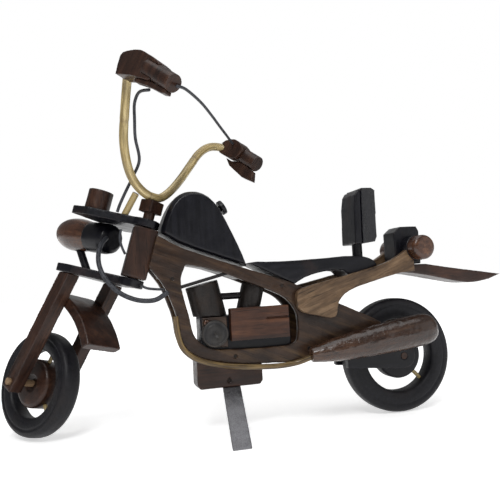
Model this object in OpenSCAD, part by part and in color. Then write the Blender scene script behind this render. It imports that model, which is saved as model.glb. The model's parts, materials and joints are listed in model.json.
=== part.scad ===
// Carved wooden chopper motorcycle, with a steering fork and two rolling wheels.
// X runs from the front wheel to the tail, Y from the rider's left to the right, Z is up.
// The origin is on the ground, at the middle of the stand's foot.

/* [Wheels] */
// Outside diameter of the rear wheel
rear_wheel_d = 88; // [74:0.2:106]
// Width of the rear wheel
rear_wheel_w = 16; // [13:0.1:20]
// Diameter of the opening inside the rear wheel's ring
rear_ring_d = 56; // [48:1:62]
// Outside diameter of the front wheel
front_wheel_d = 78; // [66:1:92]
// Width of the front wheel
front_wheel_w = 15; // [12:0.5:18]
// Diameter of the opening inside the front wheel's ring
front_ring_d = 50; // [42:1:54]
// Diameter of the hub discs
hub_d = 36; // [28:1:40]
// Diameter of the two axles
axle_d = 5; // [4:0.5:6]
// Diameter of the cane spokes
spoke_d = 3; // [2:0.5:4]

/* [Frame] */
// Thickness of each frame side
side_t = 5; // [4:0.5:7]
// Gap between the rear wheel and each frame side
wheel_gap = 0.6; // [0.4:0.1:1.2]
// Distance from the steering head to the rear axle, along X
head_to_axle = 196.5; // [180:0.1:240]
// Height of the steering head's centre above the rear axle
head_rise = 83.5; // [76:0.5:92]
// Backward lean of the steering head, in degrees
rake = 17; // [12:1:22]

/* [Fork] */
// Turn of the fork to the rider's right, in degrees
steer = 52; // [30:1:60]
// Forward tilt of the fork legs from the steering stem, in degrees
leg_tilt = 18; // [12:1:20]
// Distance from the steering stem to the legs
leg_offset = 42; // [38:1:48]
// Distance between the middles of the two legs
leg_spread = 42; // [38:0.2:51]
// Side of the square legs
leg_side = 10.5; // [8:0.5:12]
// Diameter of the steering stem
stem_d = 8; // [6:0.5:10]
// Thickness of the two fork plates
plate_t = 6; // [5:0.5:8]
// Diameter of the cane handlebar
bar_d = 6.4; // [5:0.2:7]

/* [Tail and stand] */
// Width of the seat
seat_w = 27; // [20:1:29]
// Thickness of the two tail arms
arm_t = 6; // [5:0.5:8]
// Largest diameter of the silencers
silencer_d = 24; // [18:0.2:29]
// Width of the stand's metal strip
stand_w = 13; // [10:1:16]
// Thickness of the stand's metal strip
stand_t = 2; // [1.5:0.5:3]
// Distance that the stand's foot reaches out to the rider's left
stand_reach = 50; // [40:1:60]

/* [Fits] */
// Radial clearance of a part that turns
run_fit = 0.06; // [0.02:0.01:0.1]
// Radial clearance of a part that is glued in its hole
glue_fit = 0.02; // [0.01:0.01:0.05]
// Gap between the steering head and the fork plates
head_gap = 0.5; // [0.3:0.1:1]

/* [Hidden] */
$fn = 64;

wood_brown = [0.25, 0.13, 0.09];
wood_tan = [0.45, 0.33, 0.22];
black_paint = [0.05, 0.05, 0.07];
cane = [0.72, 0.62, 0.36];
metal = [0.6, 0.6, 0.62];

// Heights. The frame outlines below are drawn for a rear axle 44 mm up, 125 mm behind X = 0.
drawn_axle = [125, 44];
axle_z = rear_wheel_d / 2;
frame_lift = axle_z - drawn_axle[1];
side_in = rear_wheel_w / 2 + wheel_gap;
side_out = side_in + side_t;
core_w = 2 * side_in;

// Steering head and fork
head = [drawn_axle[0] - head_to_axle, 0, axle_z + head_rise];
head_size = [17, core_w, 36];
head_low = -14;
head_high = head_low + head_size[2];
lower_z = head_low - head_gap - plate_t;
upper_z = head_high + head_gap;
upper_top = upper_z + plate_t;
// The leg length that brings the front wheel down to the ground
axis_tip = sin(rake) * sin(steer);
wheel_drop = front_wheel_d / 2 * sqrt(1 - axis_tip * axis_tip) + front_wheel_w / 2 * axis_tip;
leg_top_z = head[2] + leg_offset * sin(rake) * cos(steer) + lower_z * cos(rake);
leg_fall = cos(leg_tilt) * cos(rake) - sin(leg_tilt) * sin(rake) * cos(steer);
leg_len = (leg_top_z - wheel_drop) / leg_fall;
front_axle_at = [-leg_offset - leg_len * sin(leg_tilt), 0, lower_z - leg_len * cos(leg_tilt)];
fender_r = 72;
fender_t = 8;

// Tail and stand
arm_out = side_out + arm_t;
stand_top_z = 33 + frame_lift;
stand_top_y = -5;
stand_foot = [-16, -stand_reach, 0];
stand_x_top = -10;

// A smooth curve through the points of a list
function between(p, i, t) =
    let (a = p[max(i - 1, 0)], b = p[i], c = p[i + 1], d = p[min(i + 2, len(p) - 1)])
    0.5 * (2 * b + (c - a) * t + (2 * a - 5 * b + 4 * c - d) * t * t
        + (3 * b - a - 3 * c + d) * t * t * t);
function smooth(p, steps = 4) = concat(
    [for (i = [0 : len(p) - 2], k = [0 : steps - 1]) between(p, i, k / steps)],
    [p[len(p) - 1]]);

// The side vector of each ring of a tube, carried along its path without a twist
function unit(v) = v / norm(v);
function heading(p, i) = unit(p[min(i + 1, len(p) - 1)] - p[max(i - 1, 0)]);
function square_to(v, h) = unit(v - (v * h) * h);
function sides_of(p, i, v) =
    let (s = square_to(v, heading(p, i)))
    i == len(p) - 1 ? [s] : concat([s], sides_of(p, i + 1, s));

// The outlines are drawn for a head at drawn_head. Points near it follow it where it goes.
drawn_head = [-71.5, 127.5];
head_shift = [head[0] - drawn_head[0], head[2] - frame_lift - drawn_head[1]];
function share(v, from, to) = min(1, max(0, (v - from) / (to - from)));
function follow(p) =
    let (s = share(p[0], 16, -36))
    [p[0] + head_shift[0] * s, p[1] + head_shift[1] * s * share(p[1], 84, 127)];
function nose(points) = [for (p = points) follow(p)];

// A tube of the radius r through the points of a route
module tube(route, r, sides = 8, steps = 3, first = [0.3, 1, 0.2]) {
    path = smooth(route, steps);
    side = sides_of(path, 0, first);
    n = len(path);
    points = [for (i = [0 : n - 1], k = [0 : sides - 1])
        let (a = 360 * k / sides, s = side[i], u = cross(heading(path, i), s))
        path[i] + r * (cos(a) * s + sin(a) * u)];
    skin = [for (i = [0 : n - 2], k = [0 : sides - 1])
        let (m = (k + 1) % sides)
        [i * sides + k, i * sides + m, (i + 1) * sides + m, (i + 1) * sides + k]];
    first_cap = [[for (k = [sides - 1 : -1 : 0]) k]];
    last_cap = [[for (k = [0 : sides - 1]) (n - 1) * sides + k]];
    polyhedron(points, [for (f = concat(skin, first_cap, last_cap)) [for (q = [len(f) - 1 : -1 : 0]) f[q]]]);
}

// A plate cut from a side-view outline, between two values of Y
module slab(outline, y0, y1) {
    translate([0, y1, 0]) rotate([90, 0, 0]) linear_extrude(y1 - y0) polygon(outline);
}

// A cylinder along Y
module cross_bar(x, z, r, y0, y1) {
    translate([x, y1, z]) rotate([90, 0, 0]) cylinder(h = y1 - y0, r = r);
}

// A cylinder between two points
module rod(a, b, r) {
    d = b - a;
    translate(a)
        rotate([0, acos(d[2] / norm(d)), atan2(d[1], d[0])])
            cylinder(h = norm(d), r = r);
}

// A rectangle with round corners, drawn from its middle
module round_rect(w, h, r) {
    square([w - 2 * r, h], center = true);
    square([w, h - 2 * r], center = true);
    for (x = [-1, 1], y = [-1, 1])
        translate([x * (w / 2 - r), y * (h / 2 - r)]) circle(r);
}

// Puts the bike's middle plane where the origin is the stand's foot
module placed() {
    translate([-stand_foot[0], -stand_foot[1], 0]) children();
}
module on_frame() {
    placed() translate([0, 0, frame_lift]) children();
}
module on_head() {
    placed() translate(head) rotate([0, rake, 0]) children();
}
module on_fork() {
    on_head() rotate([0, 0, -steer]) children();
}
module on_front_wheel() {
    on_fork() translate(front_axle_at) children();
}
module on_rear_wheel() {
    placed() translate([drawn_axle[0], 0, axle_z]) children();
}

// Frame sides
rail_top = smooth(nose([[-59, 143], [-44, 134.5], [-28, 128], [-10, 121.5], [12, 114],
    [36, 105.5], [56, 96], [74, 87.5], [92, 79], [108, 71]]), 3);
rear_edge = [[106, 68.5], [90, 64], [78, 60], [78, 46]];
belly = smooth(nose([[66, 46], [48, 47], [25, 47.5], [2, 48.8], [-18, 51.5], [-33, 56],
    [-42, 62], [-46.5, 71], [-48, 84], [-52, 97], [-57, 109], [-66, 121]]), 3);
frame_outline = concat(rail_top, rear_edge, belly);
window_outline = smooth(nose([[-40, 121.5], [-26, 118.5], [-12, 113.5], [4, 107], [20, 100], [32, 93.5],
    [40, 82], [40, 66], [36, 60.5], [20, 59.5], [0, 59.8], [-20, 61], [-30, 64.5], [-37, 73],
    [-39.5, 86], [-42.5, 99], [-44, 111], [-40, 121.5]]), 3);

module frame_side(y0, y1) {
    difference() {
        slab(frame_outline, y0, y1);
        slab(window_outline, y0 - 1, y1 + 1);
        nail_holes();
        cross_bar(peg_at[0], peg_at[2], peg_r + glue_fit, -40, 40);
        choke_rod(glue_fit);
    }
}
module frame_left() { color(wood_brown) on_frame() frame_side(-side_out, -side_in); }
module frame_right() { color(wood_brown) on_frame() frame_side(side_in, side_out); }

module head_block() {
    color(wood_brown) on_head() difference() {
        translate([-head_size[0] / 2, -head_size[1] / 2, head_low]) cube(head_size);
        translate([0, 0, head_low - 1]) cylinder(h = head_size[2] + 2, d = stem_d + 2 * run_fit);
    }
}

module neck_block() {
    color(wood_brown) on_frame() difference() {
        slab(nose([[-62, 121], [-56, 140], [-44, 133], [-28, 126.6], [-12, 120.4], [0, 116], [0, 109],
            [-12, 113.6], [-28, 119], [-42, 121.6], [-52, 116], [-58, 112]]), -core_w / 2, core_w / 2);
        translate([head[0], 0, head[2] - frame_lift]) rotate([0, rake, 0])
            translate([-30, -20, -40]) cube([30 + head_size[0] / 2, 40, 80]);
    }
}

// Tank, its cap, the seat and the backrest
tank_outline = nose(concat(smooth([[-56, 145.5], [-53, 155], [-48, 165], [-42, 171], [-34, 173.5],
    [-25, 172], [-17, 166], [-9, 152], [-1, 134], [5, 119.5]], 2),
    [[-10, 125], [-28, 131.6], [-44, 138.2]]));
tank_w = 2 * side_out + 4;
module tank() {
    color(black_paint) on_frame() difference() {
        hull() {
            slab(tank_outline, -tank_w / 3, tank_w / 3);
            slab([for (p = tank_outline) [-25 + (p[0] + 25) * 0.93, 143 + (p[1] - 143) * 0.92]],
                -tank_w / 2, tank_w / 2);
        }
        slab(concat([[-70, 100]], [for (p = rail_top) [p[0], p[1] + 0.1]], [[108, 60]]),
            -tank_w, tank_w);
        translate(cap_at) rotate([0, cap_lean, 0])
            cylinder(h = 9, d = cap_stem_d + 2 * glue_fit, center = true);
    }
}
cap_spot = follow([-11.5, 161]);
cap_at = [cap_spot[0], 0, cap_spot[1]];
cap_lean = 60;
cap_stem_d = 4;
module tank_cap() {
    color(black_paint) on_frame() translate(cap_at) rotate([0, cap_lean, 0]) {
        translate([0, 0, -4.4]) cylinder(h = 6.6, d = cap_stem_d);
        translate([0, 0, 1.4]) cylinder(h = 3.2, d = 11);
    }
}
seat_outline = nose(concat(
    smooth([[5.6, 121.6], [30, 120.8], [60, 121.4], [82, 122.4], [96, 121.6], [104, 118.8], [108, 115]], 3),
    smooth([[97, 110.5], [85, 107.8], [80, 112.2], [70, 113], [58, 111.4], [48, 108.6], [40, 104.4]], 2)));
module seat() {
    color(black_paint) on_frame() difference() {
        slab(seat_outline, -seat_w / 2, seat_w / 2);
        slab(concat([[-70, 100]], [for (p = rail_top) [p[0], p[1] + 0.1]], [[108, 60]]), -40, 40);
        translate([post_at[0], 0, post_foot_z]) cylinder(h = 30, d = post_d + 2 * glue_fit);
    }
}
post_at = [98, 0];
post_d = 8;
post_foot_z = 114;
backrest_size = [16, 26, 43];
backrest_foot_z = 131;
module backrest() {
    color(black_paint) on_frame() difference() {
        slab([[91, 131], [107.5, 132.5], [109, 136], [110, 172], [107, 174], [97, 174],
            [93.5, 170], [92, 160]],
            -backrest_size[1] / 2, backrest_size[1] / 2);
        translate([post_at[0], 0, backrest_foot_z - 10]) cylinder(h = 18, d = post_d + 2 * glue_fit);
    }
}
module backrest_post() {
    color(black_paint) on_frame() translate([post_at[0], 0, post_foot_z])
        cylinder(h = backrest_foot_z + 8 - post_foot_z - 0.1, d = post_d);
}

// Engine
cyl_base_z = 84;
front_cyl = [-22, 12, -12.5, 24];
rear_cyl = [6, side_in - 0.02, 15.5, 22];
module engine_block() {
    color(wood_brown) on_frame() translate([-31, -core_w / 2, 56]) cube([67, core_w, cyl_base_z - 56]);
}
module tilted_cylinder(c, grow = 0) {
    translate([c[0], 0, cyl_base_z]) rotate([0, c[2], 0])
        translate([0, 0, -8]) cylinder(h = c[3] + 8, r = c[1] + grow);
}
module above_block() {
    translate([-60, -30, cyl_base_z]) cube([120, 60, 60]);
}
module front_cylinder() {
    color(black_paint) on_frame() intersection() {
        tilted_cylinder(front_cyl);
        above_block();
    }
}
module rear_cylinder() {
    color(black_paint) on_frame() intersection() {
        tilted_cylinder(rear_cyl);
        above_block();
    }
}
intake_z = 97.5;
module intake_rod() {
    color(black_paint) on_frame() difference() {
        translate([-20, 0, intake_z]) rotate([0, 90, 0]) cylinder(h = 28, d = 5);
        tilted_cylinder(front_cyl, 0.01);
        tilted_cylinder(rear_cyl, 0.01);
    }
}
cover_t = 4;
disc_t = 3;
module crank_cover() {
    color(wood_brown) on_frame() difference() {
        translate([0, -core_w / 2, 0])
            slab([[-30, 67.5], [-26.5, 62.8], [-12.5, 62], [-12.5, 83.5], [-30, 83.5]], -cover_t, 0);
        cross_bar(-22, 72, 3 + glue_fit, -30, 0);
        cross_bar(-27.5, 80, 2 + glue_fit, -30, 0);
    }
}
module primary_disc() {
    color(wood_brown) on_frame() {
        cross_bar(-22, 72, 9.5, -core_w / 2 - cover_t - disc_t, -core_w / 2 - cover_t);
        cross_bar(-22, 72, 3, -core_w / 2 - cover_t - 0.1, -core_w / 2 - 0.1);
    }
    color(wood_tan) on_frame() cross_bar(-27.5, 80, 2, -core_w / 2 - cover_t - 1.5, -core_w / 2 - 0.1);
}
box_at = [-10.5, 66];
box_size = [43.5, 23];
module side_box() {
    color(wood_tan) on_frame() {
        y1 = -core_w / 2;
        y0 = -side_out - 2.5;
        difference() {
            translate([box_at[0], y0, box_at[1]]) cube([box_size[0], y1 - y0, box_size[1]]);
            translate([box_at[0] + 0.6 * box_size[0], y0 - 1, box_at[1] + 0.6 * box_size[1]])
                cube([box_size[0], 2.8, 1.4]);
        }
    }
}
choke_r = 1.2;
module choke_rod(grow = 0) {
    y = -(side_in + side_out) / 2;
    a = follow([-46, 105.4]);
    b = follow([-9, 114.4]);
    rod([a[0], y, a[1]], [b[0], y, b[1]], choke_r + grow);
}
module choke_stick() { color(black_paint) on_frame() choke_rod(); }

// Exhaust
header_r = 2;
header_y = -side_out - header_r - 0.02;
header_route = [[-49.5, header_y, 86], [-48.2, header_y, 72], [-44, header_y, 62], [-34, header_y, 54.6],
    [-18, header_y, 49.8], [2, header_y, 47], [22, header_y, 45.8], [36, header_y - 0.5, 46.8],
    [45, header_y - 4, 49.8], [52, header_y - 7, 53]];
module header_pipe() {
    color(cane) on_frame() difference() {
        tube(header_route, header_r, 10, 3);
        silencer(-1);
    }
}
silencer_front = [45, side_out + silencer_d * 0.4, 52];
silencer_rear = [143, side_out + silencer_d / 2 + 2, 65.5];
peg_at = (silencer_front + silencer_rear) / 2;
peg_r = 2;
module silencer(s) {
    d = silencer_rear - silencer_front;
    l = norm(d);
    r = silencer_d / 2;
    scale([1, s, 1]) cross_bar(peg_at[0], peg_at[2], peg_r, side_in + 1, peg_at[1]);
    scale([1, s, 1]) translate(silencer_front) rotate([0, acos(d[2] / l), atan2(d[1], d[0])])
        rotate_extrude() polygon(concat([[0, 0], [r * 0.4, 0]],
            smooth([[r * 0.45, 0.5], [r * 0.72, l * 0.2], [r * 0.9, l * 0.45], [r, l * 0.75], [r, l * 0.9],
                [r * 0.86, l * 0.97], [r * 0.62, l]], 4), [[0, l]]));
}
module silencer_left() { color(wood_brown) on_frame() silencer(-1); }
module silencer_right() { color(wood_brown) on_frame() silencer(1); }

// Rear axle and its stays
stay_r = 9.5;
module stay(y0, y1) {
    difference() {
        union() {
            slab([[78.1, 38.5], [drawn_axle[0], drawn_axle[1] - stay_r],
                [drawn_axle[0], drawn_axle[1] + stay_r], [78.1, 59]], y0, y1);
            cross_bar(drawn_axle[0], drawn_axle[1], stay_r, y0, y1);
        }
        cross_bar(drawn_axle[0], drawn_axle[1], axle_d / 2 + glue_fit, y0 - 1, y1 + 1);
    }
}
module stay_left() { color(black_paint) on_frame() stay(-side_out, -side_in); }
module stay_right() { color(black_paint) on_frame() stay(side_in, side_out); }
module rear_axle() {
    color(wood_brown) on_frame() cross_bar(drawn_axle[0], drawn_axle[1], axle_d / 2, -side_out, side_out);
}

// Tail
arm_outline = concat(
    smooth([[38.5, 92], [40, 98], [48, 101.5], [74, 107], [100, 112.5], [118, 118], [133, 127]], 3),
    [[136, 127], [136, 108]],
    smooth([[124, 107.5], [98, 101.5], [80, 96], [71.5, 88.5], [68, 77.5],
        [54, 79.5], [43, 83], [39, 87]], 3));
module tail_arm(y0, y1) {
    difference() {
        slab(arm_outline, y0, y1);
        cross_bar(lamp_at[0], lamp_at[1], collar_r + 0.2, y0 - 1, y1 + 1);
    }
}
module tail_arm_left() { color(wood_tan) on_frame() tail_arm(-arm_out, -side_out); }
module tail_arm_right() { color(wood_tan) on_frame() tail_arm(side_out, arm_out); }
fin_outline = concat([[110, 112.5], [133, 113.8]],
    smooth([[150, 113.5], [170, 110], [197, 106], [225, 102.2]], 3),
    smooth([[210, 98.3], [190, 96.6], [168, 100.5], [150, 104.5], [128, 107.6], [110, 105]], 3));
module tail_fin() {
    color(wood_brown) on_frame() intersection() {
        slab(fin_outline, -side_out, side_out);
        translate([0, 0, 80]) linear_extrude(50)
            polygon([[100, -side_out + 0.1], [150, -side_out + 0.1], [205, -9], [226, -4],
                [226, 4], [205, 9], [150, side_out - 0.1], [100, side_out - 0.1]]);
    }
}
tail_block_w = 18;
lamp_at = [140.5, 126];
lamp_pin_d = 6;
module tail_block() {
    color(black_paint) on_frame() difference() {
        slab([[126, 113.9], [148, 113.9], [148, 140], [146, 143.5], [131.5, 143.5], [126, 139]],
            -tail_block_w / 2, tail_block_w / 2);
        cross_bar(lamp_at[0], lamp_at[1], lamp_pin_d / 2 + glue_fit, -20, 20);
    }
}
collar_t = 9;
collar_r = 10;
lamp_t = 10.5;
module lamp_collars() {
    color(black_paint) on_frame() for (s = [-1, 1]) scale([1, s, 1]) difference() {
        cross_bar(lamp_at[0], lamp_at[1], collar_r, tail_block_w / 2, tail_block_w / 2 + collar_t);
        cross_bar(lamp_at[0], lamp_at[1], lamp_pin_d / 2 + glue_fit, 0, 40);
    }
}
module tail_lamps() {
    base = tail_block_w / 2 + collar_t;
    top = base + lamp_t;
    color(wood_brown) on_frame() for (s = [0, 180])
        translate([lamp_at[0], 0, lamp_at[1]]) rotate([-90, 0, s])
            rotate_extrude() polygon([[0, 0.1], [lamp_pin_d / 2, 0.1], [lamp_pin_d / 2, base],
                [9.4, base], [9.4, top - 2.5], [8.4, top - 0.8], [6.5, top], [0, top]]);
}

// Stand
module stand_block() {
    color(wood_brown) on_frame() difference() {
        slab([[-33, 33], [11, 33], [13, 36], [13, 55.9], [-35, 55.9], [-35, 36]], -core_w / 2, core_w / 2);
        cross_bar(-12, 38, nail_r, -core_w / 2 - 1, -core_w / 2 + 5);
    }
}
module stand_strip() {
    rise = stand_top_z;
    run = stand_reach + stand_top_y;
    lean = atan2(run, rise);
    reach = norm([rise, run]) + 6;
    shift = (stand_foot[0] - stand_x_top) / norm([rise, run]);
    color(metal) placed() intersection() {
        translate([stand_x_top, stand_top_y, stand_top_z]) rotate([-lean, 0, 0])
            translate([0, stand_t / 2, 0]) rotate([90, 0, 0]) linear_extrude(stand_t)
                polygon([[-stand_w / 2 - 6 * shift, 6], [stand_w / 2 - 6 * shift, 6],
                    [stand_w / 2 + reach * shift, -reach], [-stand_w / 2 + reach * shift, -reach]]);
        translate([-80, -120, 0]) cube([120, 160, stand_top_z]);
    }
}

// Nails: their heads sit just under the wood's surface
nail_r = 1.3;
nail_spots = nose([[-8, 55], [48, 56], [-50, 112], [30, 103], [58, 90]]);
module nail_holes() {
    for (p = nail_spots) cross_bar(p[0], p[1], nail_r, -40, 40);
}
module nails() {
    color(metal) on_frame() {
        for (p = nail_spots, s = [-1, 1]) scale([1, s, 1])
            cross_bar(p[0], p[1], nail_r - glue_fit, side_in + 0.5, side_out - 0.6);
        cross_bar(-12, 38, nail_r - glue_fit, -core_w / 2 + 0.6, -core_w / 2 + 4.5);
    }
}

// Wheels: a ring, a hub disc and three cane spokes
spoke_angles = [-45, 75, 195];
spoke_sink = 4;
module spoke_set(hub, ring, r) {
    for (a = spoke_angles) rotate([0, -a, 0]) translate([hub / 2 - spoke_sink, 0, 0]) rotate([0, 90, 0])
        cylinder(h = (ring - hub) / 2 + 2 * spoke_sink, r = r);
}
module ring(d, w, hole) {
    difference() {
        rotate([90, 0, 0]) rotate_extrude($fn = 96) translate([(d + hole) / 4, 0])
            round_rect((d - hole) / 2, w, 3);
        spoke_set(hub_d, hole + 0.2, spoke_d / 2 + glue_fit);
    }
}
module hub(w, hole) {
    difference() {
        rotate([90, 0, 0]) rotate_extrude() polygon([[axle_d / 2 + run_fit, -w / 2],
            [hub_d / 2 - 1.5, -w / 2], [hub_d / 2, -w / 2 + 1.5], [hub_d / 2, w / 2 - 1.5],
            [hub_d / 2 - 1.5, w / 2], [axle_d / 2 + run_fit, w / 2]]);
        spoke_set(hub_d - 0.2, hole, spoke_d / 2 + glue_fit);
    }
}
module rear_tyre() { color(black_paint) on_rear_wheel() ring(rear_wheel_d, rear_wheel_w, rear_ring_d); }
module rear_hub() { color(black_paint) on_rear_wheel() hub(rear_wheel_w - 2, rear_ring_d); }
module rear_spokes() { color(cane) on_rear_wheel() spoke_set(hub_d, rear_ring_d, spoke_d / 2); }
module front_tyre() { color(black_paint) on_front_wheel() ring(front_wheel_d, front_wheel_w, front_ring_d); }
module front_hub() { color(wood_brown) on_front_wheel() hub(front_wheel_w, front_ring_d); }
module front_spokes() { color(cane) on_front_wheel() spoke_set(hub_d, front_ring_d, spoke_d / 2); }

// Fork
module stem() {
    color(wood_brown) on_fork() translate([0, 0, lower_z]) cylinder(h = riser_z - lower_z, d = stem_d);
}
module fork_plate(z, front, rear) {
    half = leg_spread / 2 + leg_side / 2 + 1;
    translate([0, 0, z]) difference() {
        linear_extrude(plate_t) polygon([[-leg_offset - front, -half + 1], [-leg_offset - front + 3, -half],
            [-leg_offset + 7, -half], [-4, -rear], [0, -rear], [0.7 * rear, -0.7 * rear], [rear, 0],
            [0.7 * rear, 0.7 * rear], [0, rear], [-4, rear], [-leg_offset + 7, half],
            [-leg_offset - front + 3, half], [-leg_offset - front, half - 1]]);
        translate([0, 0, -1]) cylinder(h = plate_t + 2, d = stem_d + 2 * glue_fit);
    }
}
module upper_plate() { color(black_paint) on_fork() fork_plate(upper_z, 10, 9); }
module lower_plate() {
    color(black_paint) on_fork() difference() {
        fork_plate(lower_z, 10, 8.5);
        rod(light_foot, light_top, stay_d / 2 + glue_fit);
    }
}
leg_foot = 6;
module leg(s) {
    on_fork() difference() {
        translate([-leg_offset, s * leg_spread / 2, lower_z]) rotate([0, leg_tilt, 0])
            translate([-leg_side / 2, -leg_side / 2, -leg_len - leg_foot])
                cube([leg_side, leg_side, leg_len + leg_foot + 10]);
        translate([-100, -50, lower_z]) cube([120, 100, 40]);
        translate(front_axle_at) cross_bar(0, 0, axle_d / 2 + glue_fit, -60, 60);
    }
}
module leg_left() { color(wood_brown) leg(-1); }
module leg_right() { color(wood_brown) leg(1); }
module front_axle() {
    half = leg_spread / 2 + leg_side / 2;
    color(wood_tan) on_front_wheel() cross_bar(0, 0, axle_d / 2, -half - 1.5, half + 1.5);
}
module front_fender() {
    w = leg_spread - leg_side;
    color(wood_brown) on_front_wheel() rotate([90, 0, 0]) rotate([0, 0, 34])
        rotate_extrude(angle = 43, $fn = 96)
            translate([fender_r - fender_t / 2, 0]) round_rect(fender_t, w, 2);
}

// Headlight
light_r = 11.5;
light_z = upper_z - light_r;
bullet_r = 12.8;
shell_x = [-54, -30];
bullet_len = 39;
light_foot = [-47, 0, lower_z + 2];
light_top = [-68, 0, light_z - 8];
stay_d = 6;
module headlight_shell() {
    color(black_paint) on_fork() translate([shell_x[1], 0, light_z]) rotate([0, -90, 0])
        rotate_extrude() polygon([[0, 0], [light_r - 4, 0], [light_r - 1, 2.5], [light_r, 7],
            [light_r, shell_x[1] - shell_x[0]], [0, shell_x[1] - shell_x[0]]]);
}
module headlight_bullet() {
    color(wood_brown) on_fork() difference() {
        translate([shell_x[0] - 0.05, 0, light_z]) rotate([0, -90, 0]) rotate_extrude()
            polygon(concat([[0, 0], [bullet_r - 2, 0]], smooth([[bullet_r - 1.4, 3],
                [bullet_r - 0.3, 10], [bullet_r, 19], [bullet_r - 1.2, 27], [bullet_r - 4, 33.5],
                [bullet_r - 8, 37.6]], 4), [[0, bullet_len]]));
        rod(light_foot, light_top, stay_d / 2 + glue_fit);
    }
}
module headlight_stay() { color(black_paint) on_fork() rod(light_foot, light_top, stay_d / 2); }
module gauge() {
    color(wood_brown) on_fork() translate([-39, -15, upper_top]) cylinder(h = 14.5, d = 18);
}

// Handlebar and what is on it
riser_z = upper_top + 5;
riser_h = 9;
bar_route = [[-3, -48, 117], [-7, -43, 110], [-8.5, -38, 95], [-9, -32, 76], [-6.5, -25, 60], [-4.5, -17, 51],
    [-2, -8, 46.2], [0, 0, 45.4], [0, 7, 47.5], [0.5, 14, 55], [0.5, 21, 66.5], [-1, 28.5, 79.5],
    [-2.5, 36, 92], [-1.5, 43, 100], [2, 50, 103.5], [9, 55, 103]];
module riser_block() {
    color(wood_brown) on_fork() difference() {
        translate([-6, -6, riser_z]) cube([12, 12, riser_h]);
        tube([for (p = bar_route) p], bar_d / 2 + 0.05, 10, 3);
    }
}
module handlebar() { color(cane) on_fork() tube(bar_route, bar_d / 2, 10, 3); }
module bar_brace() {
    color(cane) on_fork() difference() {
        rod([-15, -10, upper_top - 3], [-6, -11.8, 44.3], 2.4);
        translate([-60, -40, upper_top - 10]) cube([80, 80, 10]);
    }
}
grip_d = 12;
left_grip = [[22, -53, 116.5], [49, -53, 104]];
right_grip = [[13, 59, 104], [38, 59, 93]];
control_w = 13;
left_control = smooth([[-4.5, 112.5], [-4.8, 126], [1.5, 129], [14, 128.3], [24, 124], [34, 118.5],
    [37, 113], [34, 107], [26, 106.8], [11, 110.5], [-4.5, 112.5]], 2);
right_control = smooth([[4, 99.5], [3.6, 105.5], [8, 109.5], [17, 110.5], [24, 106.5], [27, 101.5],
    [22, 95], [13, 95.8], [4, 99.5]], 2);
module grip_rod(g, grow = 0) {
    rod(g[0], g[1], grip_d / 2 + grow);
}
module control(outline, y) {
    difference() {
        slab(outline, y - control_w / 2, y + control_w / 2);
        tube(bar_route, bar_d / 2 + 0.05, 10, 3);
        children();
    }
}
module control_left() {
    color(wood_brown) on_fork() control(left_control, -50.5) grip_rod(left_grip, glue_fit);
}
module control_right() {
    color(wood_brown) on_fork() control(right_control, 57) grip_rod(right_grip, glue_fit);
}
module grip_left() { color(wood_brown) on_fork() grip_rod(left_grip); }
module grip_right() { color(wood_brown) on_fork() grip_rod(right_grip); }
module lever_left() {
    color(wood_brown) on_fork() difference() {
        slab([[14, 110], [30, 106], [45.5, 99.5], [45.5, 97], [41, 97.8], [28, 103], [14, 106.8]],
        -55, -49.5);
        grip_rod(left_grip, 0.02);
        slab(left_control, -60, -40);
    }
}
module lever_right() {
    color(wood_brown) on_fork() difference() {
        slab([[8, 97], [14, 94.5], [22, 94], [30, 90.5], [37, 86.5], [38.5, 78.5], [28, 81.5], [13, 90.5]],
        56, 61);
        grip_rod(right_grip, 0.02);
        slab(right_control, 40, 70);
    }
}

// Cables, whose routes are chosen by hand
throttle_route = [[22, -47.8, 104], [6, -42, 106], [-2.5, -36.5, 101], [-3, -32.5, 91], [-2.5, -28, 79],
    [-1.5, -20.5, 66], [-9.5, -15.5, 55], [-13, -15.5, 43], [-14, -16.5, 34], [-14, -17, 28.6]];
brake_route = [[52.3, -53, 102.2], [49, -42, 105.5], [40, -18, 108.5], [33, 2, 108.5], [27, 20, 107.5],
    [22, 36, 106.5], [17, 49.8, 106]];
wire_route = [[-71, -10.2, 108.5], [-67.5, -12, 106.5], [-62, -14, 105.5], [-56, -15.8, 105]];
loop_route = [[-91.5, 17, 144.5], [-96, 9, 139], [-98.5, 2, 130], [-97.5, -3, 121], [-93, -7, 112],
    [-86, -10, 104.5], [-78, -12.5, 100], [-70, -15, 98], [-62, -17, 98.5], [-54, -16.6, 103]];
idle_route = [[-82.5, -2, 148.5], [-83.5, -3, 142], [-82.5, -4, 136], [-80.6, -5, 131]];
module cables() {
    color(black_paint) {
        on_fork() tube(throttle_route, 1.1, 8, 2);
        on_fork() tube(brake_route, 1, 8, 2);
    }
}
module joint_cables() {
    color(black_paint) on_frame() {
        tube(loop_route, 1.7, 8, 2);
        tube(idle_route, 0.9, 8, 2);
        tube(wire_route, 0.9, 8, 2);
    }
}

frame_left();
frame_right();
neck_block();
head_block();
tank();
tank_cap();
seat();
backrest();
backrest_post();
engine_block();
crank_cover();
primary_disc();
front_cylinder();
rear_cylinder();
intake_rod();
side_box();
choke_stick();
header_pipe();
silencer_left();
silencer_right();
stay_left();
stay_right();
rear_axle();
tail_arm_left();
tail_arm_right();
tail_fin();
tail_block();
lamp_collars();
tail_lamps();
stand_block();
stand_strip();
nails();
rear_tyre();
rear_hub();
rear_spokes();
stem();
upper_plate();
lower_plate();
leg_left();
leg_right();
front_axle();
headlight_shell();
headlight_bullet();
headlight_stay();
gauge();
riser_block();
handlebar();
bar_brace();
control_left();
control_right();
grip_left();
grip_right();
lever_left();
lever_right();
front_fender();
front_tyre();
front_hub();
front_spokes();
cables();
joint_cables();
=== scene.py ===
# A carved wooden chopper: carved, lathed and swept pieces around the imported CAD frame.
import json
import math

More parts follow.
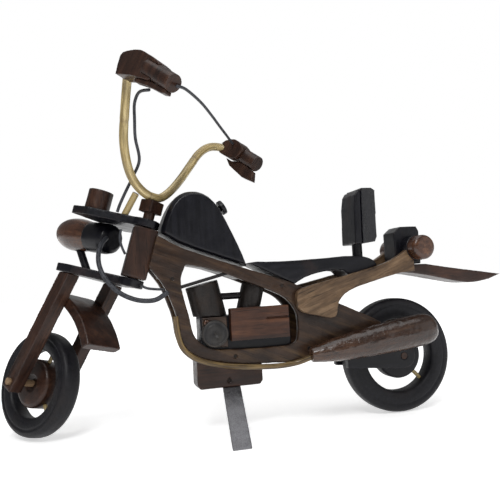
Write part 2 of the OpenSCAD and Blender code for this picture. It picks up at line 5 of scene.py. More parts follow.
import bmesh
import bpy
import numpy as np
from mathutils import Matrix, Vector, noise


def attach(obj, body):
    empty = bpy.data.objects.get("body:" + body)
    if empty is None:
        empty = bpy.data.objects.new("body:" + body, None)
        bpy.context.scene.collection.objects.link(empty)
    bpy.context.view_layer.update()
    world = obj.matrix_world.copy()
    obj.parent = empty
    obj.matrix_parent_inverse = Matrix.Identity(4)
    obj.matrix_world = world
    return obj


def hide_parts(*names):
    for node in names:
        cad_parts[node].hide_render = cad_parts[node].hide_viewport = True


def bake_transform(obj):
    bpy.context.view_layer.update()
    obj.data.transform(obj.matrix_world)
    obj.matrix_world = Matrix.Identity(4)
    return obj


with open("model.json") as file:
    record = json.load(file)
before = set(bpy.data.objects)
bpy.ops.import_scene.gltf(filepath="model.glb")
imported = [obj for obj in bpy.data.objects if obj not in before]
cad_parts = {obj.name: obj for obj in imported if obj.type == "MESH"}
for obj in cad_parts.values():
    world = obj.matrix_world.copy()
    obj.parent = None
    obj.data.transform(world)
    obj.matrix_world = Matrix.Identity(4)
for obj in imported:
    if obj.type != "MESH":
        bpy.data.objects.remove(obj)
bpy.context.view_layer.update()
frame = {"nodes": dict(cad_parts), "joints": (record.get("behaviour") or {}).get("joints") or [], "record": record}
NODES = frame["nodes"]
JOINTS = {j["name"]: j for j in frame["joints"]}
SCENE = bpy.context.scene
MM = 0.001

# The row frame's origin is the stand's foot: the bike's middle plane is 50 mm to its right
MID = Vector((16, 50, 0)) * MM


def mid(p):
    """A point in millimetres from the middle plane, in the row frame in metres."""
    return Vector(p) * MM + MID


# ---------------------------------------------------------------- camera
def make_camera():
    right = Vector((0.959, -0.276, -0.057)).normalized()
    ahead = Vector((0.279, 0.959, 0.055)).normalized()
    up = right.cross(ahead).normalized()
    right = ahead.cross(up).normalized()
    m = Matrix((right, up, -ahead)).transposed().to_4x4()
    m.translation = mid((-117.5, -441.8, 105.2))
    data = bpy.data.cameras.new("camera")
    data.lens = 44.7
    data.clip_start = 0.01
    cam = bpy.data.objects.new("camera", data)
    cam.matrix_world = m
    SCENE.collection.objects.link(cam)
    SCENE.camera = cam


make_camera()

# ---------------------------------------------------------------- steering frame
steering = JOINTS["steering"]
HEAD = Vector(steering["pos_m"])
S_AXIS = Vector(steering["axis"]).normalized()
S_RIGHT = Vector(JOINTS["front_wheel_spin"]["axis"]).normalized()
S_BACK = S_RIGHT.cross(S_AXIS).normalized()
FRONT = Vector(JOINTS["front_wheel_spin"]["pos_m"])
REAR = Vector(JOINTS["rear_wheel_spin"]["pos_m"])


def fork(p):
    """A point in the fork's own millimetres (back, right, up the stem), in the row frame."""
    return HEAD + (S_BACK * p[0] + S_RIGHT * p[1] + S_AXIS * p[2]) * MM


# ---------------------------------------------------------------- materials
class Shader:
    """A few short names for building one node material."""

    def __init__(self, name):
        self.m = bpy.data.materials.new(name)
        self.m.use_nodes = True
        self.t = self.m.node_tree
        self.b = self.t.nodes["Principled BSDF"]
        self.coord = self.t.nodes.new("ShaderNodeTexCoord").outputs["Object"]

    def link(self, a, b):
        self.t.links.new(a, b)

    def math(self, op, a, b=None, clamp=False):
        n = self.t.nodes.new("ShaderNodeMath")
        n.operation = op
        n.use_clamp = clamp
        for i, v in enumerate((a, b)):
            if v is None:
                continue
            if isinstance(v, (int, float)):
                n.inputs[i].default_value = v
            else:
                self.link(v, n.inputs[i])
        return n.outputs[0]

    def along(self, axis, stretch, scale, shift=0.0):
        """Coordinates in which the texture is stretched along axis."""
        a = Vector(axis).normalized()
        b = a.orthogonal().normalized()
        c = a.cross(b)
        comb = self.t.nodes.new("ShaderNodeCombineXYZ")
        for i, (v, s) in enumerate(((a, scale / stretch), (b, scale), (c, scale))):
            d = self.t.nodes.new("ShaderNodeVectorMath")
            d.operation = "DOT_PRODUCT"
            self.link(self.coord, d.inputs[0])
            d.inputs[1].default_value = v * s
            self.link(self.math("ADD", d.outputs["Value"], shift), comb.inputs[i])
        return comb.outputs[0]

    def noise(self, vector, scale=1.0, detail=4.0, rough=0.55, distortion=0.0):
        n = self.t.nodes.new("ShaderNodeTexNoise")
        n.inputs["Scale"].default_value = scale
        n.inputs["Detail"].default_value = detail
        n.inputs["Roughness"].default_value = rough
        n.inputs["Distortion"].default_value = distortion
        self.link(vector, n.inputs["Vector"])
        return n.outputs["Fac"]

    def ramp(self, fac, stops):
        n = self.t.nodes.new("ShaderNodeValToRGB")
        e = n.color_ramp.elements
        while len(e) < len(stops):
            e.new(0.5)
        for el, (p, c) in zip(e, stops):
            el.position = p
            el.color = (c[0], c[1], c[2], 1) if not isinstance(c, (int, float)) else (c, c, c, 1)
        self.link(fac, n.inputs[0])
        return n.outputs[0]

    def mix(self, fac, a, b, mode="MIX"):
        n = self.t.nodes.new("ShaderNodeMix")
        n.data_type = "RGBA"
        n.blend_type = mode
        for v, s in ((fac, n.inputs[0]), (a, n.inputs[6]), (b, n.inputs[7])):
            if isinstance(v, (int, float)):
                s.default_value = v
            elif isinstance(v, tuple):
                s.default_value = (*v, 1)
            else:
                self.link(v, s)
        return n.outputs[2]

    def edge(self, low, high):
        """0 on flats and 1 on worn edges."""
        g = self.t.nodes.new("ShaderNodeNewGeometry").outputs["Pointiness"]
        return self.ramp(g, ((low, 0.0), (high, 1.0)))

    def bump(self, height, strength, distance, below=None):
        n = self.t.nodes.new("ShaderNodeBump")
        n.inputs["Strength"].default_value = strength
        n.inputs["Distance"].default_value = distance
        self.link(height, n.inputs["Height"])
        if below:
            self.link(below, n.inputs["Normal"])
        return n.outputs[0]

    def done(self, color, rough, normal, coat=0.0, coat_rough=0.2, metal=0.0, specular=0.22):
        self.link(color, self.b.inputs["Base Color"])
        self.link(rough, self.b.inputs["Roughness"])
        self.link(normal, self.b.inputs["Normal"])
        self.b.inputs["Coat Weight"].default_value = coat
        self.b.inputs["Coat Roughness"].default_value = coat_rough
        self.b.inputs["Metallic"].default_value = metal
        self.b.inputs["Specular IOR Level"].default_value = specular
        return self.m


def wood(name, dark, mid_tone, light, axis=(1, 0, 0), shift=0.0, rough=(0.3, 0.55), lumps=0.0, coat=0.25):
    """Stained wood: long grain, pores, uneven stain and paler worn edges."""
    s = Shader(name)
    grain = s.noise(s.along(axis, 9.0, 210.0, shift), 1.0, 5.0, 0.62, 0.6)
    rings = s.noise(s.along(axis, 14.0, 75.0, shift + 3.0), 1.0, 3.0, 0.5, 1.4)
    pores = s.noise(s.along(axis, 16.0, 900.0, shift), 1.0, 2.0, 0.6)
    stain = s.noise(s.coord, 32.0, 3.0, 0.6)
    tone = s.math("ADD", s.math("MULTIPLY", grain, 0.6), s.math("MULTIPLY", rings, 0.4))
    color = s.ramp(tone, ((0.33, dark), (0.52, mid_tone), (0.72, light)))
    color = s.mix(s.ramp(stain, ((0.35, 0.0), (0.7, 0.75))), color, dark)
    color = s.mix(s.ramp(pores, ((0.30, 0.75), (0.42, 0.0))), color, tuple(0.35 * c for c in dark))
    worn = s.math("MULTIPLY", s.edge(0.53, 0.63), s.ramp(stain, ((0.3, 1.0), (0.62, 0.25))))
    color = s.mix(s.math("MULTIPLY", worn, 0.5), color, tuple(min(1, 1.25 * c) for c in light))
    gloss = s.ramp(s.math("ADD", s.math("MULTIPLY", grain, 0.5), s.math("MULTIPLY", stain, 0.5)),
                   ((0.35, rough[0]), (0.65, rough[1])))
    normal = s.bump(pores, 0.35, 0.00012)
    normal = s.bump(grain, 0.45, 0.0003, normal)
    if lumps:
        normal = s.bump(s.noise(s.coord, 260.0, 3.0, 0.5), 0.6, lumps, normal)
    return s.done(color, gloss, normal, 0.5 * coat, 0.2)


def paint(name, base, show, axis=(1, 0, 0), shift=0.0, rough=(0.28, 0.5), grit=0.0, coat=0.3):
    """Black paint brushed over wood: brush lines, thin patches and wood showing at worn edges."""
    s = Shader(name)
    brush = s.noise(s.along(axis, 12.0, 420.0, shift), 1.0, 4.0, 0.6)
    patch = s.noise(s.coord, 45.0, 4.0, 0.6)
    fine = s.noise(s.coord, 1400.0 if not grit else 620.0, 3.0, 0.6)
    color = s.ramp(brush, ((0.35, tuple(0.7 * c for c in base)), (0.7, tuple(1.5 * c for c in base))))
    thin = s.ramp(patch, ((0.55, 0.0), (0.8, 0.45)))
    color = s.mix(thin, color, tuple(0.45 * c + 0.55 * b for c, b in zip(show, base)))
    worn = s.math("MULTIPLY", s.edge(0.53, 0.63), s.ramp(patch, ((0.35, 0.25), (0.6, 1.0))))
    color = s.mix(s.math("MULTIPLY", worn, 0.6), color, show)
    gloss = s.ramp(s.math("ADD", s.math("MULTIPLY", brush, 0.5), s.math("MULTIPLY", patch, 0.5)),
                   ((0.35, rough[0]), (0.65, rough[1])))
    normal = s.bump(brush, 0.35, 0.0002)
    normal = s.bump(fine, 0.35 if not grit else 0.8, 0.00008 if not grit else grit, normal)
    return s.done(color, gloss, normal, 0.3 * coat, 0.25, 0.0, 0.2)


def cane_material(name, shift=0.0, tint=1.0):
    """Cane: fibres that run with the stalk, pale and dark patches, and dark joints."""
    s = Shader(name)
    own = s.t.nodes.new("ShaderNodeAttribute")
    own.attribute_name = "stalk"
    s.coord = own.outputs["Vector"]
    fibre = s.noise(s.along((1, 0, 0), 60.0, 1.6, shift), 1.0, 2.0, 0.5)
    patch = s.noise(s.along((1, 0, 0), 12.0, 0.5, shift), 1.0, 3.0, 0.55)
    color = s.ramp(fibre, ((0.3, (0.25, 0.18, 0.07)), (0.7, (0.47, 0.37, 0.18))))
    color = s.mix(s.ramp(patch, ((0.40, 0.0), (0.62, 0.85))), color, (0.15, 0.11, 0.045))
    color = s.mix(s.ramp(patch, ((0.30, 0.5), (0.40, 0.0))), color, (0.58, 0.50, 0.30))
    dark = s.t.nodes.new("ShaderNodeAttribute")
    dark.attribute_name = "joint_mark"
    color = s.mix(dark.outputs["Fac"], color, (0.10, 0.06, 0.03))
    if tint < 1:
        color = s.mix(1.0, color, (tint, 0.86 * tint, 0.72 * tint), "MULTIPLY")
        color = s.mix(s.ramp(patch, ((0.45, 0.0), (0.6, 0.7))), color, (0.035, 0.020, 0.010))
    gloss = s.ramp(patch, ((0.3, 0.25), (0.7, 0.5)))
    return s.done(color, gloss, s.bump(fibre, 0.3, 0.0001), 0.35)


def wire_material():
    s = Shader("wire_sheath")
    fine = s.noise(s.coord, 500.0, 3.0, 0.6)
    color = s.ramp(fine, ((0.3, (0.012, 0.013, 0.016)), (0.7, (0.05, 0.052, 0.06))))
    return s.done(color, s.ramp(fine, ((0.3, 0.38), (0.7, 0.55))), s.bump(fine, 0.2, 0.00005))


def metal_material(name, low, high, axis, rough):
    s = Shader(name)
    brush = s.noise(s.along(axis, 30.0, 1500.0), 1.0, 3.0, 0.6)
    patch = s.noise(s.coord, 90.0, 5.0, 0.65)
    both = s.math("ADD", s.math("MULTIPLY", brush, 0.5), s.math("MULTIPLY", patch, 0.5))
    color = s.ramp(both, ((0.35, low), (0.65, high)))
    color = s.mix(s.ramp(patch, ((0.6, 0.0), (0.8, 0.5))), color, tuple(0.35 * c for c in low))
    return s.done(color, s.ramp(both, ((0.35, rough[0]), (0.65, rough[1]))),
                  s.bump(brush, 0.3, 0.00005), 0.0, 0.2, 0.85)


STAIN = ((0.0095, 0.0042, 0.0028), (0.033, 0.0135, 0.0080), (0.080, 0.036, 0.019))
WARM = ((0.018, 0.0068, 0.0042), (0.072, 0.029, 0.015), (0.185, 0.092, 0.048))
TAN = ((0.030, 0.017, 0.010), (0.150, 0.092, 0.050), (0.36, 0.245, 0.145))
BLACK = (0.0030, 0.0031, 0.0052)
BROWN = (0.075, 0.036, 0.024)
LEG = S_AXIS * math.cos(math.radians(18)) + S_BACK * math.sin(math.radians(18))
X, Y, Z = Vector((1, 0, 0)), Vector((0, 1, 0)), Vector((0, 0, 1))
RAIL = Vector((1, 0, -0.42))

frame_wood = wood("frame_wood", (0.0100, 0.0050, 0.0032), (0.037, 0.0185, 0.0098), (0.105, 0.062, 0.028),
                  RAIL, 0.0,
                  (0.28, 0.55), 0.0008)
dark_wood = wood("dark_wood", *STAIN, X, 2.0)
upright_wood = wood("upright_wood", *STAIN, Z, 5.0)
leg_wood = wood("leg_wood", *STAIN, LEG, 7.0)
barrel_wood = paint("barrel_paint", (0.010, 0.0075, 0.0065), (0.085, 0.050, 0.032), Z, 17.0, (0.25, 0.5),
                    0.0005, 0.3)
lamp_wood = wood("lamp_wood", *WARM, Y, 9.0, (0.2, 0.4), 0.0008, 1.0)
bullet_wood = wood("bullet_wood", *WARM, S_BACK, 9.0, (0.2, 0.4), 0.0008, 1.0)
box_wood = wood("box_wood", (0.009, 0.0045, 0.0035), (0.050, 0.019, 0.010), (0.120, 0.048, 0.022), X, 11.0)
cover_wood = wood("cover_wood", (0.013, 0.008, 0.006), (0.045, 0.027, 0.019), (0.105, 0.070, 0.050), X, 12.0)
disc_paint = paint("disc_paint", (0.016, 0.0155, 0.016), (0.085, 0.070, 0.055), Z, 19.0, (0.3, 0.5),
                   0.0003, 0.2)
plain_black = paint("plain_black", (0.004, 0.004, 0.006), (0.012, 0.009, 0.008), X, 23.0)
stained_cane = cane_material("stained_cane", 5.0, 0.42)
arm_wood = wood("arm_wood", *TAN, Vector((1, 0, 0.35)), 13.0, (0.35, 0.6), 0.0010, 0.15)
pipe_wood = wood("pipe_wood", (0.013, 0.0060, 0.0040), (0.046, 0.021, 0.0115), (0.120, 0.062, 0.032),
                 Vector((1, 0, 0.13)), 15.0, (0.16, 0.36), 0.0018, 1.2)
black = paint("black_paint", BLACK, BROWN, X)
black_up = paint("black_paint_upright", BLACK, BROWN, Z, 4.0)
black_fork = paint("black_paint_fork", BLACK, BROWN, S_BACK, 6.0)
grit_black = paint("gritty_black_paint", BLACK, BROWN, Z, 8.0, (0.22, 0.42), 0.0010, 2.0)
tyre_black = paint("tyre_paint", (0.0065, 0.0065, 0.0085), (0.040, 0.030, 0.026), Y, 10.0, (0.38, 0.6),
                   0.0003, 0.1)
cane = cane_material("cane")
cane_low = cane_material("cane_low", 5.0)
wire = wire_material()
strip = metal_material("strip_metal", (0.09, 0.09, 0.096), (0.27, 0.27, 0.285), Z, (0.35, 0.6))
nail = metal_material("nail_metal", (0.012, 0.010, 0.009), (0.05, 0.042, 0.038), Y, (0.5, 0.75))


# ---------------------------------------------------------------- mesh helpers
def add_object(name, mesh, material, smooth=True):
    ob = bpy.data.objects.new(name, mesh)
    SCENE.collection.objects.link(ob)
    mesh.materials.clear()
    mesh.materials.append(material)
    mesh.polygons.foreach_set("use_smooth", [smooth] * len(mesh.polygons))
    return ob


def applied(ob):
    """Replaces the object's mesh with its evaluated mesh."""
    bpy.context.view_layer.update()
    mesh = bpy.data.meshes.new_from_object(ob.evaluated_get(bpy.context.evaluated_depsgraph_get()))
    old = ob.data
    ob.modifiers.clear()
    ob.data = mesh
    bpy.data.meshes.remove(old)
    return ob


def soften(ob, voxel, rounds, rough, keep, seed=0.0):
    """Rounds every edge as carving and sanding does, with a slightly uneven surface."""
    r = ob.modifiers.new("remesh", "REMESH")
    r.mode = "VOXEL"
    r.voxel_size = voxel
    if rounds:
        m = ob.modifiers.new("smooth", "SMOOTH")
        m.factor = 0.5
        m.iterations = rounds
    applied(ob)
    mesh = ob.data
    if rough:
        offset = Vector((seed, seed * 2, seed * 3))
        normals = [v.normal.copy() for v in mesh.vertices]
        for v, n in zip(mesh.vertices, normals):
            d = noise.noise(v.co * 110 + offset) + 0.5 * noise.noise(v.co * 320 + offset)
            v.co -= n * rough * (0.6 + d)
    if keep < 1:
        d = ob.modifiers.new("decimate", "DECIMATE")
        d.ratio = keep
        applied(ob)
    mesh = ob.data
    mesh.polygons.foreach_set("use_smooth", [True] * len(mesh.polygons))
    return ob


def finish_piece(ob, body, slot, *replaced):
    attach(ob, body)
    if replaced:
        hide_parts(*replaced)
    return ob


def body_of(node):
    for name, members in frame["record"]["behaviour"]["bodies"].items():
        if node in members:
            return name


SLOT = {p["node"]: p["material_slot"] for p in frame["record"]["subparts"]}


def carve(node, material, voxel=0.7, rounds=4, rough=0.12, keep=0.4, settle=0.0):
    """A carved copy of a CAD node, which stands for it. settle beds its underside down in mm."""
    mesh = NODES[node].data.copy()
    ob = add_object("carved_" + node, mesh, material)
    b = bmesh.new()
    b.from_mesh(mesh)
    bmesh.ops.remove_doubles(b, verts=b.verts, dist=1e-6)
    if settle:
        for v in {v for f in b.faces if f.normal.z < -0.5 for v in f.verts}:
            v.co.z -= settle * MM
    b.to_mesh(mesh)
    b.free()
    soften(ob, voxel * MM, rounds, rough * MM, keep, float(len(node)))
    ob.data.materials.clear()
    ob.data.materials.append(material)
    return finish_piece(ob, body_of(node), SLOT[node], node)


def lathe(name, profile, centre, axis, material, steps=96, closed=True):
    """A ring or disc turned from (radius, along the axis) points in millimetres."""
    a = Vector(axis).normalized()
    u = a.orthogonal().normalized()
    v = a.cross(u)
    b = bmesh.new()
    rings = []
    for i in range(steps):
        t = 2 * math.pi * i / steps
        out = u * math.cos(t) + v * math.sin(t)
        rings.append([b.verts.new(centre + out * (r * MM) + a * (h * MM)) for r, h in profile])
    n = len(profile)
    for i in range(steps):
        p, q = rings[i], rings[(i + 1) % steps]
        for k in range(n if closed else n - 1):
            b.faces.new((p[k], p[(k + 1) % n], q[(k + 1) % n], q[k]))
    bmesh.ops.recalc_face_normals(b, faces=b.faces)
    mesh = bpy.data.meshes.new(name)
    b.to_mesh(mesh)
    b.free()
    return add_object(name, mesh, material)


def curve_points(points, steps=6):
    """The same smooth curve that the CAD's tubes follow."""
    p = [Vector(q) for q in points]
    out = []
    for i in range(len(p) - 1):
        a, b, c, d = p[max(i - 1, 0)], p[i], p[i + 1], p[min(i + 2, len(p) - 1)]
        for k in range(steps):
            t = k / steps
            out.append(0.5 * (2 * b + (c - a) * t + (2 * a - 5 * b + 4 * c - d) * t * t
                              + (3 * b - a - 3 * c + d) * t ** 3))
    return out + [p[-1]]


def tube(name, points, radius, material, sides=20, steps=6, shape=None, mark=None):
    """A round tube with capped ends along points in the row frame. shape scales its radius."""
    path = curve_points(points, steps)
    n = len(path)
    length = [0.0]
    for i in range(1, n):
        length.append(length[-1] + (path[i] - path[i - 1]).length)
    b = bmesh.new()
    side = Vector((0.3, 1, 0.2))
    rings = []
    values = []
    stalk = []
    for i in range(n):
        h = (path[min(i + 1, n - 1)] - path[max(i - 1, 0)]).normalized()
        side = (side - h * side.dot(h)).normalized()
        up = h.cross(side)
        r = radius * MM * (shape(length[i] / MM) if shape else 1.0)
        ring = []
        for k in range(sides):
            t = 2 * math.pi * k / sides
            ring.append(b.verts.new(path[i] + (side * math.cos(t) + up * math.sin(t)) * r))
            values.append(mark(length[i] / MM) if mark else 0.0)
            stalk += [length[i] / MM, 3 * math.cos(t), 3 * math.sin(t)]
        rings.append(ring)
    for p, q in zip(rings, rings[1:]):
        for k in range(sides):
            b.faces.new((p[k], p[(k + 1) % sides], q[(k + 1) % sides], q[k]))
    b.faces.new(list(reversed(rings[0])))
    b.faces.new(rings[-1])
    bmesh.ops.recalc_face_normals(b, faces=b.faces)
    mesh = bpy.data.meshes.new(name)
    b.to_mesh(mesh)
    b.free()
    mesh.attributes.new("joint_mark", "FLOAT", "POINT").data.foreach_set("value", values)
    mesh.attributes.new("stalk", "FLOAT_VECTOR", "POINT").data.foreach_set("vector", stalk)
    return add_object(name, mesh, material)


def prism(name, outline, y0, y1, material):
    """A block from a side-view outline in middle-plane millimetres."""
    b = bmesh.new()
    near = [b.verts.new(mid((x, y0, z))) for x, z in outline]
    far = [b.verts.new(mid((x, y1, z))) for x, z in outline]
    n = len(outline)
    b.faces.new(near)
    b.faces.new(list(reversed(far)))
    for i in range(n):
        j = (i + 1) % n
        b.faces.new((near[i], near[j], far[j], far[i]))
    bmesh.ops.recalc_face_normals(b, faces=b.faces)
    mesh = bpy.data.meshes.new(name)
    b.to_mesh(mesh)
    b.free()
    return add_object(name, mesh, material)


def repaint(node, material):
    """A CAD node that keeps its own shape gets a better material."""
    mesh = NODES[node].data
    mesh.materials.clear()
    mesh.materials.append(material)


# ---------------------------------------------------------------- frame
for node in ("frame_left", "frame_right"):
    carve(node, frame_wood, 0.7, 4, 0.18, 0.3)
carve("neck_block", frame_wood, 0.9, 3, 0.1, 0.3)
carve("head_block", upright_wood, 0.7, 3, 0.12)
# The engine block gets the black paint as painted shade: it stands for the dark recess under and behind the side box.
carve("engine_block", black, 0.8, 3, 0.12, 0.3)
carve("crank_cover", cover_wood, 0.45, 3, 0.12)
carve("side_box", box_wood, 0.55, 3, 0.1)
carve("front_cylinder", barrel_wood, 0.7, 4, 0.15)
carve("rear_cylinder", barrel_wood, 0.7, 4, 0.15)
carve("tank", black_up, 0.8, 6, 0.16, 0.35, 1.3)
carve("tank_cap", black, 0.4, 3, 0.06)
carve("seat", black, 0.7, 5, 0.15, 0.35, 0.9)
carve("stay_left", black, 0.6, 3, 0.12)
carve("stay_right", black, 0.6, 3, 0.12)
carve("stand_block", dark_wood, 0.7, 4, 0.15)
carve("silencer_left", pipe_wood, 0.7, 3, 0.3)
carve("silencer_right", pipe_wood, 0.7, 3, 0.3)
carve("tail_arm_left", arm_wood, 0.6, 5, 0.2)
carve("tail_arm_right", arm_wood, 0.6, 5, 0.2)
carve("tail_fin", dark_wood, 0.7, 6, 0.15)
carve("tail_block", black_up, 0.6, 4, 0.12)
carve("lamp_collars", black, 0.6, 4, 0.1)
carve("tail_lamps", lamp_wood, 0.55, 4, 0.06)
carve("stand_strip", strip, 0.4, 2, 0.05, 0.35)
carve("backrest_post", black_up, 0.5, 2, 0.08)
for node in ("intake_rod", "choke_stick", "rear_axle"):
    repaint(node, plain_black if node != "rear_axle" else dark_wood)
repaint("nails", nail)

# ---------------------------------------------------------------- fork
carve("upper_plate", black_fork, 0.6, 4, 0.15)
carve("lower_plate", black_fork, 0.6, 4, 0.15)
carve("leg_left", leg_wood, 0.6, 4, 0.18)
carve("leg_right", leg_wood, 0.6, 4, 0.18)
carve("front_fender", dark_wood, 0.6, 5, 0.15)
carve("headlight_shell", black_fork, 0.6, 4, 0.12)
carve("headlight_bullet", bullet_wood, 0.6, 2, 0.08)
carve("gauge", upright_wood, 0.5, 4, 0.1)
carve("riser_block", upright_wood, 0.45, 4, 0.08)
carve("control_left", leg_wood, 0.5, 5, 0.15)
carve("control_right", leg_wood, 0.5, 5, 0.15)
carve("grip_left", leg_wood, 0.4, 3, 0.06, 0.7)
carve("grip_right", leg_wood, 0.4, 3, 0.06, 0.7)
carve("lever_left", leg_wood, 0.4, 4, 0.08)
carve("lever_right", leg_wood, 0.4, 4, 0.08)
repaint("stem", dark_wood)
carve("headlight_stay", plain_black, 0.4, 2, 0.1)
repaint("front_axle", arm_wood)

# ---------------------------------------------------------------- primary disc and its screw
disc = lathe("primary_cover",
             [(0.2, 0), (9.2, 0), (9.5, 0.5), (9.5, 2.3), (9.1, 2.9), (8.1, 2.95), (7.7, 2.5),
                               (6.9, 2.5), (6.5, 2.9), (2.8, 2.95), (2.4, 2.4), (0.2, 2.3)],
             mid((-22, -12.62, 72)), (0, -1, 0), disc_paint, 72)
finish_piece(disc, "frame", SLOT["primary_disc"], "primary_disc")
screw = lathe("cover_screw",
              [(0.2, 0), (2.0, 0), (2.0, 1.1), (1.6, 1.45), (0.6, 1.45), (0.45, 0.9), (0.2, 0.9)],
              mid((-27.5, -12.62, 80)), (0, -1, 0), bullet_wood, 40)
finish_piece(screw, "frame", SLOT["primary_disc"])

# ---------------------------------------------------------------- backrest: a board and its pad
board = prism("backrest_board",
              [(97.2, 131.1), (107.5, 132.5), (109, 136), (110, 172), (107, 174), (98.2, 174)],
              -13, 13, grit_black)
soften(board, 0.5 * MM, 4, 0.1 * MM, 0.4, 1.0)
finish_piece(board, "frame", "black_wood", "backrest")
pad = prism("backrest_pad", [(91, 131.1), (97, 131.1), (98, 172.6), (95.8, 172.6), (93.4, 169), (92, 160)],
            -12.4, 12.4, black_up)
soften(pad, 0.5 * MM, 8, 0.12 * MM, 0.4, 2.0)
finish_piece(pad, "frame", "black_wood")


# ---------------------------------------------------------------- handlebar, header and spokes of cane
BAR = [(-3, -48, 117), (-7, -43, 110), (-8.5, -38, 95), (-9, -32, 76), (-6.5, -25, 60), (-4.5, -17, 51),
       (-2, -8, 46.2), (0, 0, 45.4), (0, 7, 47.5), (0.5, 14, 55), (0.5, 21, 66.5), (-1, 28.5, 79.5),
       (-2.5, 36, 92), (-1.5, 43, 100), (2, 50, 103.5), (9, 55, 103)]
HEADER = [(-49.5, -15.6, 86), (-48.2, -15.6, 72), (-44, -15.6, 62), (-34, -15.6, 54.6), (-18, -15.6, 49.8),
          (2, -15.6, 47), (22, -15.6, 45.8), (36, -16.1, 46.8), (45, -19.6, 49.8), (50.5, -21.9, 52.2)]


def near_any(at, places, width):
    return max(math.exp(-((at - p) / width) ** 2) for p in places)


bar_joints = (30.0, 88.0, 146.0, 190.0)
bar = tube("cane_handlebar", [fork(p) for p in BAR], 3.12, cane, 24, 8,
           lambda s: 1.0 + 0.025 * near_any(s, bar_joints, 1.6) - 0.05 * near_any(s,
                                                                                  [p + 2.4 for p in bar_joints], 0.7),
           lambda s: 0.55 * near_any(s, [p + 2.4 for p in bar_joints], 0.6))
finish_piece(bar, "fork", "cane", "handlebar")
header = tube("cane_header", [mid(p) for p in HEADER], 1.95, stained_cane, 18, 6,
              lambda s: 1.0 + 0.02 * near_any(s, (40.0, 92.0), 1.5),
              lambda s: 0.5 * near_any(s, (41.5, 93.5), 0.6))
finish_piece(header, "frame", "cane", "header_pipe")
repaint("bar_brace", cane)
repaint("rear_spokes", cane_low)
repaint("front_spokes", cane_low)

# ---------------------------------------------------------------- wires
THROTTLE = [(22, -47.8, 104), (6, -42, 106), (-2.5, -36.5, 101), (-3, -32.5, 91), (-2.5, -28, 79),
            (-1.5, -20.5, 66), (-9.5, -15.5, 55), (-13, -15.5, 43), (-14, -16.5, 34), (-14, -17, 28.6)]
BRAKE = [(52.3, -53, 102.2), (49, -42, 105.5), (40, -18, 108.5), (33, 2, 108.5), (27, 20, 107.5),
         (22, 36, 106.5), (17, 49.8, 106)]
HEAD_WIRE = [(-71, -10.2, 108.5), (-67.5, -12, 106.5), (-62, -14, 105.5), (-56, -15.8, 105)]
LOOP = [(-91.5, 17, 144.5), (-96, 9, 139), (-98.5, 2, 130), (-97.5, -3, 121), (-93, -7, 112),
        (-86, -10, 104.5), (-78, -12.5, 100), (-70, -15, 98), (-62, -17, 98.5), (-54, -16.6, 103)]
IDLE = [(-82.5, -2, 148.5), (-83.5, -3, 142), (-82.5, -4, 136), (-80.6, -5, 131)]
finish_piece(tube("throttle_wire", [fork(p) for p in THROTTLE], 1.08, wire, 14, 6), "fork", "wire_sheath",
             "cables")
finish_piece(tube("brake_wire", [fork(p) for p in BRAKE], 0.98, wire, 14, 6), "fork", "wire_sheath")
finish_piece(tube("head_wire", [mid(p) for p in HEAD_WIRE], 0.88, wire, 14, 6), "frame", "wire_sheath")
loop = tube("loop_wire", [mid(p) for p in LOOP], 1.68, wire, 16, 8)
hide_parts("joint_cables")
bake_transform(loop)
idle = tube("idle_wire", [mid(p) for p in IDLE], 0.88, wire, 14, 8)
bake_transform(idle)


# ---------------------------------------------------------------- wheels
def wheel(name, body, centre, axis, d, w, hole, hub_d, hub_w, hub_material, replaced, boss):
    ring_t = (d - hole) / 2
    r0, r1, h = hole / 2, d / 2, w / 2
    groove = r0 + 0.62 * ring_t
    half = [(r0, -h + 3.2), (r0 + 0.8, -h + 1.6), (r0 + 2.2, -h + 0.6), (groove - 1.6, -h + 0.1),
            (groove - 0.8, -h + 0.25), (groove, -h + 0.75), (groove + 0.8, -h + 0.2), (r1 - 3.0, -h + 0.35),
            (r1 - 1.4, -h + 1.3), (r1 - 0.45, -h + 2.8), (r1 - 0.08, -h + 4.6), (r1 - 0.02, -1.2)]
    profile = half + [(r, -z) for r, z in reversed(half)]
    tyre = lathe(name + "_ring", profile, centre, axis, tyre_black, 128)
    for v in tyre.data.vertices:
        k = noise.noise(v.co * 90) * 0.10 * MM
        v.co -= (v.co - centre).normalized() * (abs(k))
    finish_piece(tyre, body, "black_wood", replaced[0])
    hr, hh = hub_d / 2, hub_w / 2
    edge = [(2.57, -hh + 1.4), (boss - 0.6, -hh + 1.4), (boss, -hh + 0.9), (boss + 0.5, -hh + 0.2),
            (boss + 1.2, -hh + 0.2),
            (hr - 3.2, -hh + 0.05), (hr - 1.5, -hh + 0.4), (hr - 0.5, -hh + 1.4), (hr - 0.05, -hh + 2.8)]
    disc = lathe(name + "_disc", edge + [(r, -z) for r, z in reversed(edge)], centre, axis, hub_material, 96)
    finish_piece(disc, body, SLOT[replaced[1]], replaced[1])


wheel("rear_wheel", "rear_wheel", REAR, (0, 1, 0), 88, 16, 56, 36, 14, tyre_black,
      ("rear_tyre", "rear_hub"), 6.0)
wheel("front_wheel", "front_wheel", FRONT, S_RIGHT, 78, 15, 50, 36, 15, dark_wood,
      ("front_tyre", "front_hub"), 6.0)


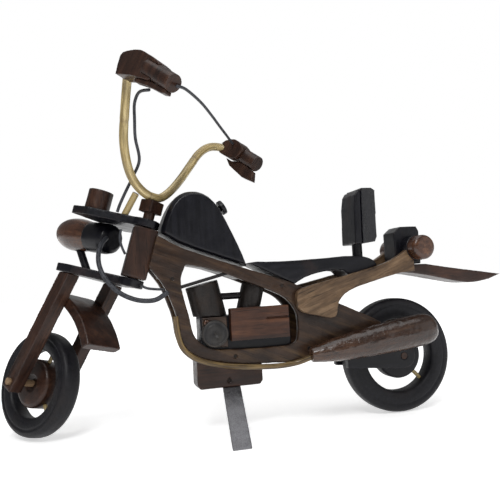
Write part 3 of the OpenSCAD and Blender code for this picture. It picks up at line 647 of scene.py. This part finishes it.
# ---------------------------------------------------------------- floor, light and world
def stage():
    mesh = bpy.data.meshes.new("floor")
    b = bmesh.new()
    bmesh.ops.create_grid(b, x_segments=1, y_segments=1, size=12.0)
    b.to_mesh(mesh)
    b.free()
    s = Shader("floor")
    fac = s.noise(s.coord, 6.0, 2.0, 0.5)
    # the floor fades into the white backdrop
    away = s.t.nodes.new("ShaderNodeVectorMath")
    away.operation = "LENGTH"
    s.link(s.coord, away.inputs[0])
    s.link(s.ramp(away.outputs["Value"], ((0.20, 0.55), (0.70, 1.0))), s.b.inputs["Emission Strength"])
    s.b.inputs["Emission Color"].default_value = (0.98, 0.98, 0.98, 1)
    floor = add_object("floor", mesh,
                       s.done(s.ramp(fac, ((0.3, (0.90, 0.90, 0.90)), (0.7, (0.94, 0.94, 0.94)))),
                                             s.ramp(fac, ((0.3, 0.7), (0.7, 0.8))),
                                             s.bump(fac, 0.05, 0.0005)))
    floor.location = (0, 0.2, -0.0002)
    world = bpy.data.worlds.new("studio")
    SCENE.world = world
    world.use_nodes = True
    world.node_tree.nodes["Background"].inputs[0].default_value = (1, 1, 1, 1)
    tree = world.node_tree
    rays = tree.nodes.new("ShaderNodeLightPath").outputs["Is Camera Ray"]
    level = tree.nodes.new("ShaderNodeMapRange")
    level.inputs["To Min"].default_value = 0.22
    level.inputs["To Max"].default_value = 1.0
    tree.links.new(rays, level.inputs["Value"])
    tree.links.new(level.outputs["Result"], tree.nodes["Background"].inputs["Strength"])
    for name, place, size, power in (("key", (-0.35, -0.85, 0.95), 0.40, 8.5),
                                     ("fill", (0.8, -0.7, 0.5), 0.8, 1.6),
                                     ("top", (0.05, -0.05, 1.1), 0.8, 4.0),
                                     ("back", (0.2, 1.1, 0.6), 0.8, 1.0)):
        light = bpy.data.lights.new(name, "AREA")
        light.size = size
        light.energy = power
        ob = bpy.data.objects.new(name, light)
        ob.location = place
        ob.rotation_euler = (Vector((0.02, 0.05, 0.1)) - Vector(place)).to_track_quat("-Z", "Y").to_euler()
        SCENE.collection.objects.link(ob)


stage()
SCENE.view_settings.view_transform = "Standard"
